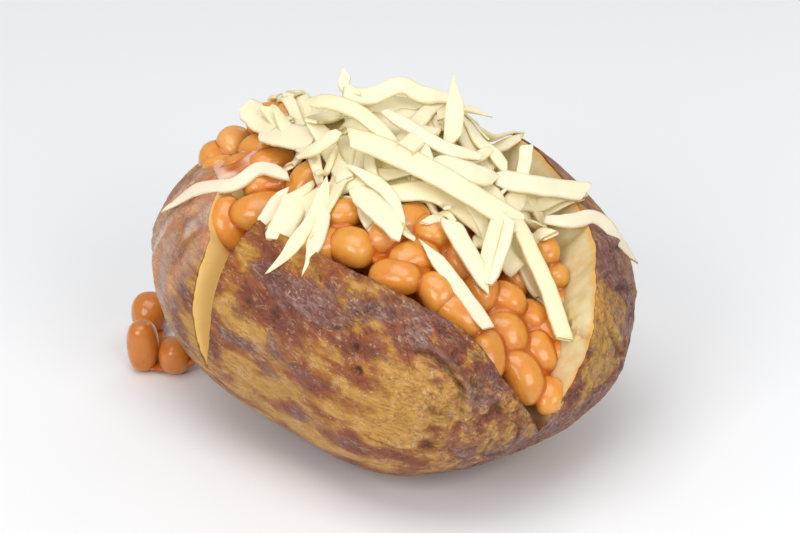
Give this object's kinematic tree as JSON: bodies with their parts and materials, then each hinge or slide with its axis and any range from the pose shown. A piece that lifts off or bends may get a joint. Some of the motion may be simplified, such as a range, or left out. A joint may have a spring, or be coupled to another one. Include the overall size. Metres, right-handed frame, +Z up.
{
  "type": "baked potato",
  "caption": "Baked potato cut crosswise and squeezed open, filled with baked beans in tomato sauce under a heap of grated cheese.",
  "frame": {"origin": "the middle of the small flat spot that the potato rests on", "axes": "+Z up; -Y is the front, the side where the longest lobe shows its skin and the spilled beans lie to its left; +X is to the right of that view"},
  "size_m": [0.1202, 0.1134, 0.0786],
  "materials": {
    "potato": "dry wrinkled baked skin, brown on ochre",
    "beans": "glossy orange beans in wet tomato sauce",
    "cheese": "pale yellow grated cheese, slightly waxy"
  },
  "bodies": {
    "root": {"potato": "potato", "bean_heap": "beans", "cheese_heap": "cheese", "spilled_bean_1": "beans", "spilled_bean_2": "beans", "spilled_bean_3": "beans"}
  },
  "joints": []
}
